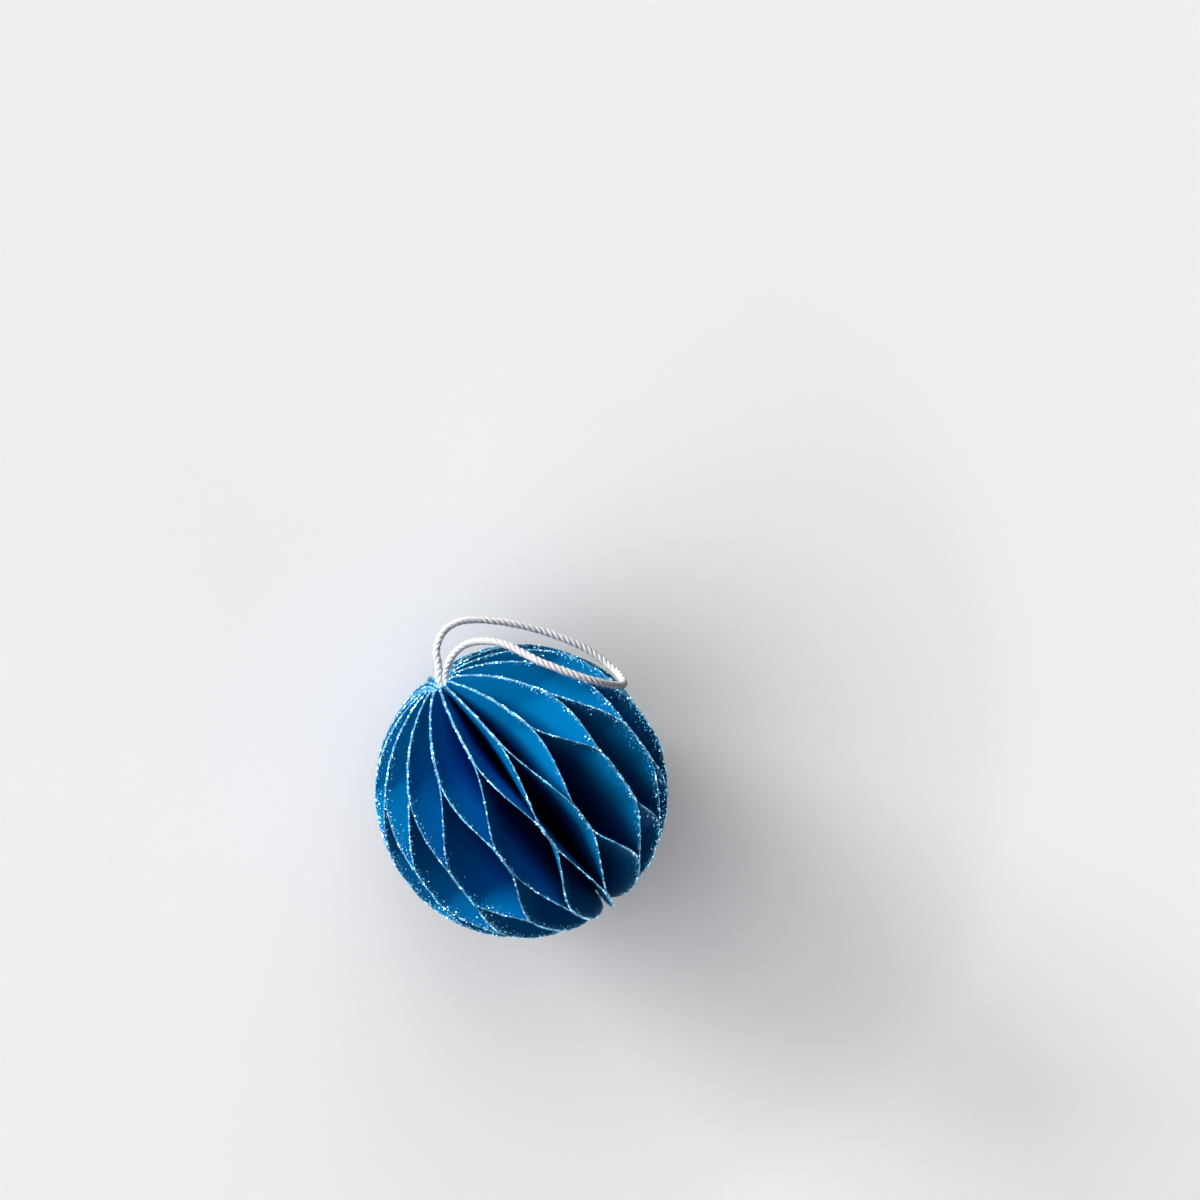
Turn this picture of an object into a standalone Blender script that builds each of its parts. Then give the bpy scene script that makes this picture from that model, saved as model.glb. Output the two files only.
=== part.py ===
"""Honeycomb paper ball on a loop of twisted cord, lying on its side.

Half round paper leaves fan out from one axis. Each leaf is glued to one neighbour near both poles and
to its other neighbour round the middle, which opens the lens shaped cells between the leaves.
Metres, +Z up. The ball's axis lies along Y with the cord at +Y, and the floor is at Z = 0.
"""

import math

import bmesh
import bpy
from mathutils import Vector

# Ball
BALL_RADIUS = 0.040
PAIR_COUNT = 18
# Length of rim that runs straight across the middle, so that the ball lies still on two pairs
REST_FLAT = 0.0090

# Paper leaf
PAPER_THICKNESS = 0.00025
CORNER_RADIUS = 0.0030
# Between the two leaves of a glued pair, and between neighbouring pairs where they crowd at the spine
GLUE_FILM = 0.0001
CROWDING_GAP = 0.0001

# Glued stretches, along the axis: at each pole, and round the middle
POLE_GLUE = 0.0150
MIDDLE_GLUE = 0.0120
# How much of the way between two glued stretches follows a soft S, and not a straight line
SOFT_BEND = 0.30

# Hand gluing leaves the pairs uneven. Six shifts follow each other round the ball.
# Angles are in shares of the step between two pairs, lengths in metres along the axis.
CORD_POLE_TURN = (0.0, -0.165, -0.06, 0.08, 0.15, 0.195)
FAR_POLE_TURN = (-0.125, 0.055, 0.085, 0.025, 0.075, -0.05)
MIDDLE_TURN = (-0.15, 0.0, 0.03, -0.025, 0.13, 0.10)
CORD_POLE_EXTRA = (-0.0009, 0.0011, -0.0009, 0.0, -0.0001, -0.0004)
FAR_POLE_EXTRA = (-0.0002, 0.0002, 0.0025, 0.0030, 0.0060, 0.0022)
MIDDLE_EXTRA_UP = (-0.0017, 0.0031, 0.0010, -0.0002, 0.0004, -0.0003)
MIDDLE_EXTRA_DOWN = (0.0001, 0.0039, 0.0, 0.0010, -0.0034, -0.0029)
# The two pairs that stand closest at a pole are this share of an even step apart.
NARROWEST_SHARE = 0.8

# Cord, the slack between its two strands in the spine, and the gap between pieces that touch
CORD_DIAMETER = 0.0020
STRAND_SLACK = 0.0004
CORD_STEP = 0.0025
SEAT_GAP = 0.0003
# The cord's route as it lies, in millimetres from the ball's centre. The two ends are in the spine.
CORD_ROUTE_MM = (
    (-0.5, 22.0, -1.1), (-0.5, 30.0, -1.1), (-0.3, 36.0, -1.1), (0.7, 40.0, -1.1), (3.0, 43.4, -1.5),
    (4.5, 46.1, -2.0), (7.3, 48.0, -2.9), (10.8, 48.7, -3.9), (14.6, 47.9, -4.0), (18.7, 45.2, -4.0),
    (23.2, 41.1, -3.4), (27.3, 36.5, -2.7), (31.1, 31.5, -1.9), (34.4, 26.4, -0.6), (37.2, 21.3, 0.6),
    (38.8, 16.8, 1.9), (39.5, 13.3, 3.8), (39.7, 11.3, 6.7), (38.8, 10.4, 11.8), (36.5, 12.4, 16.6),
    (32.8, 17.4, 20.6), (29.0, 22.8, 21.3), (25.7, 27.9, 20.0), (22.9, 32.4, 17.9), (21.1, 36.0, 15.0),
    (19.3, 39.5, 12.1), (17.0, 42.2, 9.7), (14.1, 44.1, 7.4), (10.9, 45.1, 5.8), (7.6, 44.7, 4.5),
    (4.4, 42.9, 3.1), (2.0, 39.8, 1.5), (0.8, 36.0, 1.2), (0.5, 30.0, 1.1), (0.5, 22.0, 1.1),
)

# Fineness of the facets
CORNER_STEPS = 3
GLUED_STEPS = 4
FREE_STEPS = 9
BINDING_SIDES = 24
CURVE_STEPS = 24

# Colours: linear red, green, blue
BLUE_PAPER = (0.010, 0.150, 0.480)
GLUE = (0.012, 0.090, 0.260)
WHITE_COTTON = (0.800, 0.790, 0.760)
PAPER_ROUGHNESS = 0.35
GLUE_ROUGHNESS = 0.5
COTTON_ROUGHNESS = 0.9

PAIR_STEP = 2.0 * math.pi / PAIR_COUNT
# From the middle of a leaf's paper to the middle of its pair
HALF_PAIR = (PAPER_THICKNESS + GLUE_FILM) / 2.0
# The straight edges stand as far out as the crowded pairs need, or as the cord's two strands need.
NARROWEST_STEP = PAIR_STEP * NARROWEST_SHARE
CROWDED_RADIUS = (2.0 * PAPER_THICKNESS + GLUE_FILM + CROWDING_GAP) / NARROWEST_STEP
STRANDS_RADIUS = CORD_DIAMETER + STRAND_SLACK / 2.0 + SEAT_GAP
SPINE_RADIUS = max(CROWDED_RADIUS, STRANDS_RADIUS)
CORNER_CENTRE_R = SPINE_RADIUS + CORNER_RADIUS
SPINE_HALF = math.sqrt((BALL_RADIUS - CORNER_RADIUS) ** 2 - CORNER_CENTRE_R ** 2)
CORNER_SWEEP = math.radians(75.0)


def clear_scene():
    for obj in list(bpy.data.objects):
        bpy.data.objects.remove(obj, do_unlink=True)


def make_material(name, colour, roughness):
    material = bpy.data.materials.new(name)
    material.use_nodes = True
    shader = material.node_tree.nodes["Principled BSDF"]
    shader.inputs["Base Color"].default_value = (*colour, 1.0)
    shader.inputs["Roughness"].default_value = roughness
    shader.inputs["Metallic"].default_value = 0.0
    return material


def add_object(name, data, material):
    obj = bpy.data.objects.new(name, data)
    bpy.context.collection.objects.link(obj)
    data.materials.append(material)
    return obj


def uneven(shifts, index):
    return shifts[index % PAIR_COUNT % len(shifts)]


def rim_radius(y):
    """Distance of the round edge from the axis, with the straight run across the middle."""
    widest = math.sqrt(BALL_RADIUS ** 2 - (REST_FLAT / 2.0) ** 2)
    return min(widest, math.sqrt(max(0.0, BALL_RADIUS ** 2 - y * y)))


def inner_radius(y):
    """Distance of the straight edge from the axis, which curves away round the corners."""
    past = abs(y) - SPINE_HALF
    if past <= 0.0:
        return SPINE_RADIUS
    return CORNER_CENTRE_R - math.sqrt(max(0.0, CORNER_RADIUS ** 2 - past * past))


def leaf_plan(number):
    """Where one leaf is glued: its angles, its glued stretches, and the side of its pair it is on."""
    pair = number // 2
    side = 1 if number % 2 else -1
    # A leaf on the far side of its pole pair meets the next pair's leaf round the middle.
    middle = pair if side > 0 else pair - 1
    return {
        "side": side,
        "cord_angle": (pair + uneven(CORD_POLE_TURN, pair)) * PAIR_STEP,
        "far_angle": (pair + uneven(FAR_POLE_TURN, pair)) * PAIR_STEP,
        "middle_angle": (middle + 0.5 + uneven(MIDDLE_TURN, middle)) * PAIR_STEP,
        "cord_end": BALL_RADIUS - POLE_GLUE - uneven(CORD_POLE_EXTRA, pair),
        "far_end": BALL_RADIUS - POLE_GLUE - uneven(FAR_POLE_EXTRA, pair),
        "middle_up": MIDDLE_GLUE / 2.0 + uneven(MIDDLE_EXTRA_UP, middle),
        "middle_down": MIDDLE_GLUE / 2.0 + uneven(MIDDLE_EXTRA_DOWN, middle),
    }


def opening(y, plan):
    """0 where the leaf is glued at a pole, 1 where it is glued round the middle."""
    glued = plan["cord_end"] if y > 0.0 else plan["far_end"]
    middle = plan["middle_up"] if y > 0.0 else plan["middle_down"]
    share = min(1.0, max(0.0, (glued - abs(y)) / (glued - middle)))
    soft = share * share * (3.0 - 2.0 * share)
    return share + SOFT_BEND * (soft - share)


def leaf_angle_and_offset(y, plan):
    """The leaf's angle round the axis at this height, and its paper's distance from the pair's middle."""
    pole_angle = plan["cord_angle"] if y > 0.0 else plan["far_angle"]
    share = opening(y, plan)
    angle = pole_angle + share * (plan["middle_angle"] - pole_angle)
    return angle, plan["side"] * HALF_PAIR * (1.0 - 2.0 * share)


def even_steps(start, end, count):
    return [start + (end - start) * step / count for step in range(count + 1)]


def half_heights(glued, middle):
    """Heights of a leaf's stations from the corner's tip down to the middle, in one half."""
    heights = [SPINE_HALF + CORNER_RADIUS * math.sin(a) for a in even_steps(CORNER_SWEEP, 0.0, CORNER_STEPS)]
    heights += even_steps(SPINE_HALF, glued, GLUED_STEPS)[1:]
    heights += even_steps(glued, middle, FREE_STEPS)[1:]
    heights.append(REST_FLAT / 2.0)
    return heights


def leaf_stations(plan):
    """All heights along the axis at which a leaf's section is set out, far pole first."""
    upper = half_heights(plan["cord_end"], plan["middle_up"])
    lower = [-y for y in half_heights(plan["far_end"], plan["middle_down"])]
    stations = []
    for y in sorted(upper + lower):
        if not stations or y - stations[-1] > PAPER_THICKNESS:
            stations.append(y)
    return stations


def leaf_section(y, plan):
    """Four corners of the paper's section at one height: inner and outer edge, on both faces."""
    angle, offset = leaf_angle_and_offset(y, plan)
    outward = Vector((math.sin(angle), 0.0, math.cos(angle)))
    across = Vector((math.cos(angle), 0.0, -math.sin(angle)))
    corners = []
    for radius, face in ((inner_radius(y), -1), (rim_radius(y), -1), (rim_radius(y), 1), (inner_radius(y), 1)):
        shift = offset + face * PAPER_THICKNESS / 2.0
        corners.append(outward * radius + across * shift + Vector((0.0, y, 0.0)))
    return corners


def leaf_mesh(name, number):
    """One leaf: its sections joined by triangles, with the same diagonal on both faces of the paper."""
    plan = leaf_plan(number)
    mesh = bmesh.new()
    rows = [[mesh.verts.new(p) for p in leaf_section(y, plan)] for y in leaf_stations(plan)]
    for low, high in zip(rows, rows[1:]):
        # One face of the paper and the other, split from inner low to outer high.
        mesh.faces.new((low[0], low[1], high[1]))
        mesh.faces.new((low[0], high[1], high[0]))
        mesh.faces.new((low[3], high[2], low[2]))
        mesh.faces.new((low[3], high[3], high[2]))
        # The round rim and the straight edge.
        mesh.faces.new((low[1], low[2], high[2], high[1]))
        mesh.faces.new((low[3], low[0], high[0], high[3]))
    mesh.faces.new(list(reversed(rows[0])))
    mesh.faces.new(rows[-1])
    bmesh.ops.recalc_face_normals(mesh, faces=mesh.faces)
    data = bpy.data.meshes.new(name)
    mesh.to_mesh(data)
    mesh.free()
    return data


def make_leaves(material):
    leaves = []
    for number in range(2 * PAIR_COUNT):
        name = f"leaf_{number + 1:02d}"
        leaves.append(add_object(name, leaf_mesh(name, number), material))
    return leaves


def binding_mesh():
    """The glue on the axis, from the far pole's dimple up to the ends of the cord."""
    radius = SPINE_RADIUS - SEAT_GAP
    bottom = -SPINE_HALF
    top = CORD_ROUTE_MM[0][1] / 1000.0 - SEAT_GAP
    mesh = bmesh.new()
    ring = []
    for step in range(BINDING_SIDES):
        angle = 2.0 * math.pi * step / BINDING_SIDES
        ring.append(mesh.verts.new((radius * math.sin(angle), bottom, radius * math.cos(angle))))
    cap = mesh.faces.new(ring)
    raised = bmesh.ops.extrude_face_region(mesh, geom=[cap])
    moved = [v for v in raised["geom"] if isinstance(v, bmesh.types.BMVert)]
    bmesh.ops.translate(mesh, verts=moved, vec=(0.0, top - bottom, 0.0))
    bmesh.ops.recalc_face_normals(mesh, faces=mesh.faces)
    data = bpy.data.meshes.new("spine_binding")
    mesh.to_mesh(data)
    mesh.free()
    return data


def smooth_curve(points):
    """Points closely spaced on a Catmull-Rom curve through the given points."""
    ends = [2 * points[0] - points[1]] + points + [2 * points[-1] - points[-2]]
    dense = []
    for a, b, c, d in zip(ends, ends[1:], ends[2:], ends[3:]):
        for step in range(CURVE_STEPS):
            t = step / CURVE_STEPS
            dense.append(0.5 * (2 * b + (c - a) * t + (2 * a - 5 * b + 4 * c - d) * t ** 2
                                + (3 * b - a - 3 * c + d) * t ** 3))
    dense.append(points[-1])
    return dense


def evenly_spaced(dense, spacing):
    """Points a fixed distance apart along a dense line, with both ends kept."""
    lengths = [0.0]
    for a, b in zip(dense, dense[1:]):
        lengths.append(lengths[-1] + (b - a).length)
    count = max(2, round(lengths[-1] / spacing))
    points = []
    index = 0
    for step in range(count + 1):
        wanted = lengths[-1] * step / count
        while index < len(lengths) - 2 and lengths[index + 1] < wanted:
            index += 1
        span = lengths[index + 1] - lengths[index]
        points.append(dense[index].lerp(dense[index + 1], (wanted - lengths[index]) / span))
    return points


def cord_curve():
    """The hanging cord, a tube along the route."""
    route = [Vector(p) / 1000.0 for p in CORD_ROUTE_MM]
    points = evenly_spaced(smooth_curve(route), CORD_STEP)
    curve = bpy.data.curves.new("hanging_cord", "CURVE")
    curve.dimensions = "3D"
    curve.bevel_depth = CORD_DIAMETER / 2.0
    curve.bevel_resolution = 2
    curve.use_fill_caps = True
    spline = curve.splines.new("POLY")
    spline.points.add(len(points) - 1)
    for target, point in zip(spline.points, points):
        target.co = (*point, 1.0)
    return curve


def set_down(objects, leaves):
    """Raises everything so that the lowest rim touches the floor."""
    lowest = min(v.co.z for leaf in leaves for v in leaf.data.vertices)
    for obj in objects:
        obj.location.z = -lowest


def build():
    clear_scene()
    paper = make_material("blue_paper", BLUE_PAPER, PAPER_ROUGHNESS)
    glue = make_material("binding_glue", GLUE, GLUE_ROUGHNESS)
    cotton = make_material("white_cotton", WHITE_COTTON, COTTON_ROUGHNESS)
    leaves = make_leaves(paper)
    binding = add_object("spine_binding", binding_mesh(), glue)
    cord = add_object("hanging_cord", cord_curve(), cotton)
    set_down(leaves + [binding, cord], leaves)


build()
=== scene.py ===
"""Honeycomb paper ball on a loop of twisted cord: its paper, glitter, glue and cotton.

Half round leaves of stiff blue paper fan out from one axis. Each is glued to one neighbour near both
poles and to the other round the middle, and its round edge is dipped in glitter.
Metres, +Z up. The ball lies on its side, its axis along Y, with the cord at +Y.
"""

import math

import bmesh
import bpy
from mathutils import Matrix, Vector
from mathutils.noise import noise as bumps


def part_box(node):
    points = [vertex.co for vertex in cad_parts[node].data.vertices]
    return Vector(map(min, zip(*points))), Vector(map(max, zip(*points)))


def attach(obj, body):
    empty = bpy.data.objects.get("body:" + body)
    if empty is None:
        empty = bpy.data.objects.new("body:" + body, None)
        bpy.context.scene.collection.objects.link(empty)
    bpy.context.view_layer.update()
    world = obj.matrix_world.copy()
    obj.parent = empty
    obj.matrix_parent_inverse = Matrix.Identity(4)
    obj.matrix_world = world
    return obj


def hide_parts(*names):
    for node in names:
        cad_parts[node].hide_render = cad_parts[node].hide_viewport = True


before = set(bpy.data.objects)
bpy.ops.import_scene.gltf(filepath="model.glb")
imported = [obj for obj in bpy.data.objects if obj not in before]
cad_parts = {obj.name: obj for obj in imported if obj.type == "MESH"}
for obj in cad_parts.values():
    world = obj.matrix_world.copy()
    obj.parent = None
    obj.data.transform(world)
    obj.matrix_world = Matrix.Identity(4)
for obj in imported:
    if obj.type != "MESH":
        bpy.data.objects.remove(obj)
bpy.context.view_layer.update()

# Ball
BALL_RADIUS = 0.040
PAIR_COUNT = 18
LEAF_COUNT = 2 * PAIR_COUNT
REST_FLAT = 0.0090
SPINE_LOW, SPINE_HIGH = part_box("spine_binding")
CENTRE = Vector((0.0, 0.0, (SPINE_LOW.z + SPINE_HIGH.z) / 2.0))

# Paper leaf
PAPER_THICKNESS = 0.00025
# Painted shade: the paper's colour changes with depth below the round edge. It is a little brighter 10 mm
# in, and much darker and purer further in, where paper faces paper and light hardly reaches.
# Depth below the round edge, and the two tones between which the paper is mottled there.
PAPER_TONES_AND_DEPTH_SHADE = (
    (0.000, (0.000, 0.180, 0.450), (0.001, 0.220, 0.530)),
    (0.010, (0.000, 0.210, 0.500), (0.001, 0.260, 0.590)),
    (0.023, (0.000, 0.035, 0.270), (0.000, 0.050, 0.330)),
)
CORNER_RADIUS = 0.0030
GLUE_FILM = 0.0001
SEAT_GAP = 0.0003
SPINE_RADIUS = (SPINE_HIGH.z - SPINE_LOW.z) / 2.0 + SEAT_GAP
HALF_PAIR = (PAPER_THICKNESS + GLUE_FILM) / 2.0

# Glued stretches, along the axis: at each pole, and round the middle
POLE_GLUE = 0.0150
MIDDLE_GLUE = 0.0120
SOFT_BEND = 0.30

# Hand gluing leaves the pairs uneven. Angles are in shares of the step between two pairs.
CORD_POLE_TURN = (0.0, -0.165, -0.06, 0.08, 0.15, 0.195)
FAR_POLE_TURN = (-0.125, 0.055, 0.085, 0.025, 0.075, -0.05)
MIDDLE_TURN = (-0.15, 0.0, 0.03, -0.025, 0.13, 0.10)
CORD_POLE_EXTRA = (-0.0009, 0.0011, -0.0009, 0.0, -0.0001, -0.0004)
FAR_POLE_EXTRA = (-0.0002, 0.0002, 0.0025, 0.0030, 0.0060, 0.0022)
MIDDLE_EXTRA_UP = (-0.0017, 0.0031, 0.0010, -0.0002, 0.0004, -0.0003)
MIDDLE_EXTRA_DOWN = (0.0001, 0.0039, 0.0, 0.0010, -0.0034, -0.0029)
PAIR_STEP = 2.0 * math.pi / PAIR_COUNT

# Where the straight edge ends and the rounded corner begins, at each pole
CORNER_CENTRE_R = SPINE_RADIUS + CORNER_RADIUS
SPINE_HALF = math.sqrt((BALL_RADIUS - CORNER_RADIUS) ** 2 - CORNER_CENTRE_R ** 2)
CORNER_SWEEP = math.radians(86.0)

# No flake lies closer than this to the surface that the ball rests on.
FLAKE_CLEARANCE = 0.0004

# Glitter on the round edge: a bead of glue round the paper's edge, fine flakes all over it, large
# flakes in clumps, and a few that strayed onto the faces. Flakes are counted per square metre.
BEAD_RADIUS = 0.00011
BEAD_SINK = 0.00003
CORNER_GLITTER = math.radians(80.0)
# The bead was put on by hand, so along the edge its radius is this share, plus a short and a long wave.
BEAD_LEAST = 0.45
BEAD_SWELL = 0.5
BEAD_DRIFT = 0.6
# Noises that differ from leaf to leaf: waves per metre, detail, and the step from leaf to leaf.
BEAD_SWELL_NOISE = (260.0, 3.0, 1.7)
BEAD_DRIFT_NOISE = (55.0, 1.0, 2.3)
CLUMP_NOISE = (420.0, 2.0, 0.9)
# Lumps on the bead, as a share of its radius, and how many there are to a metre
BEAD_LUMP = 0.7
BEAD_LUMP_SCALE = 3200.0
FINE_FLAKE_RADIUS = 0.00008
FINE_FLAKES = 8.0e6
LARGE_FLAKE_RADIUS = 0.00024
LARGE_FLAKES = 9.0e6
STRAY_FLAKE_RADIUS = 0.00016
STRAY_FLAKES = 8.0e6
STRAY_REACH = 0.0028
STRAY_FADE = 3.0
# A flake's number of sides, its height as a share of its radius, and the range of its size
FLAKE_SIDES = 6
FLAKE_HEIGHT = 0.45
FLAKE_SIZES = (0.6, 1.5)
# How far a flake may tip out of its surface, in radians
FINE_FLAKE_LEAN = 0.9
LARGE_FLAKE_LEAN = 0.7
# Flakes lie in clumps: where the noise starts to count, how fast they rise, their least and their most.
EVEN_CLUMPS = (0.30, 4.0, 0.12, 1.3)
DENSE_CLUMPS = (0.46, 12.0, 0.10, 2.2)
# Flakes stick where the bead faces out: from this far past sideways on, as a cosine, rising this fast.
OPEN_SIDE_START = 0.25
OPEN_SIDE_RISE = 3.0
# Two leaves that stand less than this share of a full cell apart are glued, and no flake gets between.
GLUED_SHUT = 0.06
# Large flakes crowd at the poles: so many times the usual are added at the axis, and none this far out.
POLE_CROWDING = 3.0
POLE_CROWDING_REACH = 0.0085
# Seeds: where the draws for the flakes and for the cord's fibres start, and a step for each kind of flake
FLAKE_DRAWS = 11
FUZZ_DRAWS = 21
LARGE_FLAKE_SEED = 100
STRAY_FLAKE_SEED = 200

# Cord: its width over the strands, the length of one full turn of a strand, and the step of its path
CORD_DIAMETER = 0.0020
CORD_LAY = 0.0051
CORD_STEP = 0.0025
# The cord's route as it lies, in millimetres from the ball's centre. The two ends are in the spine.
CORD_ROUTE_MM = (
    (-0.5, 22.0, -1.1), (-0.5, 30.0, -1.1), (-0.3, 36.0, -1.1), (0.7, 40.0, -1.1), (3.0, 43.4, -1.5),
    (4.5, 46.1, -2.0), (7.3, 48.0, -2.9), (10.8, 48.7, -3.9), (14.6, 47.9, -4.0), (18.7, 45.2, -4.0),
    (23.2, 41.1, -3.4), (27.3, 36.5, -2.7), (31.1, 31.5, -1.9), (34.4, 26.4, -0.6), (37.2, 21.3, 0.6),
    (38.8, 16.8, 1.9), (39.5, 13.3, 3.8), (39.7, 11.3, 6.7), (38.8, 10.4, 11.8), (36.5, 12.4, 16.6),
    (32.8, 17.4, 20.6), (29.0, 22.8, 21.3), (25.7, 27.9, 20.0), (22.9, 32.4, 17.9), (21.1, 36.0, 15.0),
    (19.3, 39.5, 12.1), (17.0, 42.2, 9.7), (14.1, 44.1, 7.4), (10.9, 45.1, 5.8), (7.6, 44.7, 4.5),
    (4.4, 42.9, 3.1), (2.0, 39.8, 1.5), (0.8, 36.0, 1.2), (0.5, 30.0, 1.1), (0.5, 22.0, 1.1),
)

# The photo is 1200 pixels square. In it: the focal length, the ball's middle and radius in pixels,
# how far the axis leans towards the viewer, its direction in the picture, and the ball's turn. The
# sensor's width, in millimetres, only sets the scale in which the lens is given.
PHOTO_SIZE = 1200.0
PHOTO_FOCAL = 2760.0
BALL_PIXEL = (521.7, 790.9)
BALL_PIXEL_RADIUS = 146.2
AXIS_LEAN = math.radians(19.5)
AXIS_IN_PICTURE = math.radians(125.8)
BALL_TURN = math.radians(-9.3)
SENSOR = 36.0

# Distant soft lamps: angle away from the viewer, direction in the picture and how wide each looks from
# the ball, in degrees, then its share and its colour. With a share of 1, a white face turned to the
# lamp renders white.
LAMP_COLOUR = (1.0, 1.0, 0.98)
SKY_COLOUR = (0.84, 0.86, 1.0)
LAMPS = {
    "key_lamp": (60.5, 146.0, 24.0, 1.52, LAMP_COLOUR),
    "fill_lamp": (33.0, 200.0, 50.0, 0.20, SKY_COLOUR),
    "back_lamp": (84.0, 320.0, 40.0, 0.06, SKY_COLOUR),
}
WORLD_SHARE = 0.04
# The camera and shiny surfaces see a paler floor and surroundings than those that light the ball. The
# floor's glow fades with the share of the window that the ball hides, to this power.
FLOOR_COLOUR = (0.92, 0.92, 0.92, 1.0)
FLOOR_HALF = 8.0
FLOOR_DROP = 0.0002
FLOOR_GLOW = 0.50
FLOOR_GLOW_COLOUR = (1.0, 0.985, 0.96, 1.0)
FLOOR_GLOW_FADE = 4.0
FLOOR_SHADE_REACH = 0.15
FLOOR_SHADE_SAMPLES = 4
FLOOR_GLOW_AWAY = 50.0
FLOOR_GLOW_IN_PICTURE = 150.0
SURROUNDINGS_SEEN = (0.86, 0.88, 0.90)
# What the glitter mirrors: a dim room with bright windows in it.
ROOM_MIRRORED = (0.34, 0.38, 0.42)
WINDOWS_MIRRORED = (6.6, 6.8, 7.0)
WINDOW_SCALE = 4.0
WINDOW_EDGE = 0.56
WINDOW_CONTRAST = 14.0


class Field:
    """One output of a node. Plain arithmetic on it adds Math nodes to its tree."""

    def __init__(self, tree, socket):
        self.tree = tree
        self.socket = socket

    def math(self, operation, *others):
        return math_node(self.tree, operation, self, *others)

    def between(self, low, high):
        """The value, or the nearer of these two limits where it lies past one."""
        return self.math("MAXIMUM", low).math("MINIMUM", high)

    def __add__(self, other):
        return self.math("ADD", other)

    __radd__ = __add__

    def __sub__(self, other):
        return self.math("SUBTRACT", other)

    def __rsub__(self, other):
        return math_node(self.tree, "SUBTRACT", other, self)

    def __mul__(self, other):
        return self.math("MULTIPLY", other)

    __rmul__ = __mul__

    def __truediv__(self, other):
        return self.math("DIVIDE", other)


def plug(tree, value, socket):
    """Links a Field to a socket, or writes a plain value on it."""
    if isinstance(value, Field):
        tree.links.new(value.socket, socket)
    else:
        socket.default_value = value


def add(tree, kind, inputs=None, output=0, **settings):
    """Adds a node, sets it up, and gives one of its outputs."""
    node = tree.nodes.new(kind)
    node.location = (len(tree.nodes) % 12 * 190.0, len(tree.nodes) // 12 * -260.0)
    for name, value in settings.items():
        setattr(node, name, value)
    for name, value in (inputs or {}).items():
        plug(tree, value, node.inputs[name])
    return Field(tree, node.outputs[output])


def math_node(tree, operation, *values):
    return add(tree, "ShaderNodeMath", dict(enumerate(values)), operation=operation)


def choose(switch, if_one, if_zero):
    """One value where the switch is 1 and the other where it is 0."""
    return if_zero + switch * (if_one - if_zero)


def xyz(tree, x, y, z):
    return add(tree, "ShaderNodeCombineXYZ", {"X": x, "Y": y, "Z": z})


def position(tree):
    """Each point's own x, y and z."""
    apart = tree.nodes.new("ShaderNodeSeparateXYZ")
    plug(tree, add(tree, "GeometryNodeInputPosition"), apart.inputs[0])
    return [Field(tree, output) for output in apart.outputs]


def random_between(tree, low, high, seed):
    return add(tree, "FunctionNodeRandomValue", {2: low, 3: high, "Seed": seed}, output=1)


def scatter_points(tree, surface, density, seed):
    """The node that scatters points over a surface. It gives each point's place and its way up."""
    scatter = tree.nodes.new("GeometryNodeDistributePointsOnFaces")
    plug(tree, surface, scatter.inputs["Mesh"])
    plug(tree, density, scatter.inputs["Density"])
    plug(tree, seed, scatter.inputs["Seed"])
    return scatter


def stand_on(tree, scatter, shape, lean, sizes, draws):
    """One copy of a shape on each scattered point, turned any way round and tipped by up to the lean."""
    tilt = xyz(tree, random_between(tree, -lean, lean, draws), random_between(tree, -lean, lean, draws + 1),
               random_between(tree, 0.0, 2.0 * math.pi, draws + 2))
    turned = add(tree, "FunctionNodeRotateRotation", {
        "Rotation": Field(tree, scatter.outputs["Rotation"]),
        "Rotate By": add(tree, "FunctionNodeEulerToRotation", {0: tilt})}, rotation_space="LOCAL")
    return add(tree, "GeometryNodeInstanceOnPoints", {
        "Points": Field(tree, scatter.outputs["Points"]), "Instance": shape, "Rotation": turned,
        "Scale": random_between(tree, *sizes, draws + 3)})


def solid_and_finish(tree, geometry, material):
    """Turns instances into real faces and gives them their material."""
    whole = add(tree, "GeometryNodeRealizeInstances", {0: geometry})
    return add(tree, "GeometryNodeSetMaterial", {"Geometry": whole, "Material": material})


def join(tree, *parts):
    """Several geometries as one."""
    joined = tree.nodes.new("GeometryNodeJoinGeometry")
    for part in parts:
        tree.links.new(part.socket, joined.inputs[0])
    return Field(tree, joined.outputs[0])


# A socket is given by the number that it starts with, or by the word for its kind.
SOCKET_KINDS = {float: "NodeSocketFloat", int: "NodeSocketInt", "value": "NodeSocketFloat",
                "vector": "NodeSocketVector", "geometry": "NodeSocketGeometry",
                "material": "NodeSocketMaterial", "object": "NodeSocketObject"}


def new_group(name, kind, inputs, outputs):
    """A node group with named inputs and outputs: the group, its inputs as Fields, and its output node."""
    tree = bpy.data.node_groups.new(name, kind)
    for direction, sockets in (("INPUT", inputs), ("OUTPUT", outputs)):
        for socket_name, start in sockets.items():
            empty = isinstance(start, str)
            kind_name = SOCKET_KINDS[start if empty else type(start)]
            socket = tree.interface.new_socket(socket_name, in_out=direction, socket_type=kind_name)
            if not empty:
                socket.default_value = start
    entry = tree.nodes.new("NodeGroupInput")
    given = {socket_name: Field(tree, entry.outputs[socket_name]) for socket_name in inputs}
    return tree, given, tree.nodes.new("NodeGroupOutput")


def use_group(tree, group, inputs):
    """Places a node group in a tree and gives its outputs by name."""
    kind = "GeometryNodeGroup" if tree.type == "GEOMETRY" else "ShaderNodeGroup"
    node = tree.nodes.new(kind)
    node.node_tree = group
    for name, value in inputs.items():
        plug(tree, value, node.inputs[name])
    return {output.name: Field(tree, output) for output in node.outputs}


def put_in_scene(name, data):
    placed = bpy.data.objects.new(name, data)
    bpy.context.scene.collection.objects.link(placed)
    return placed


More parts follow.
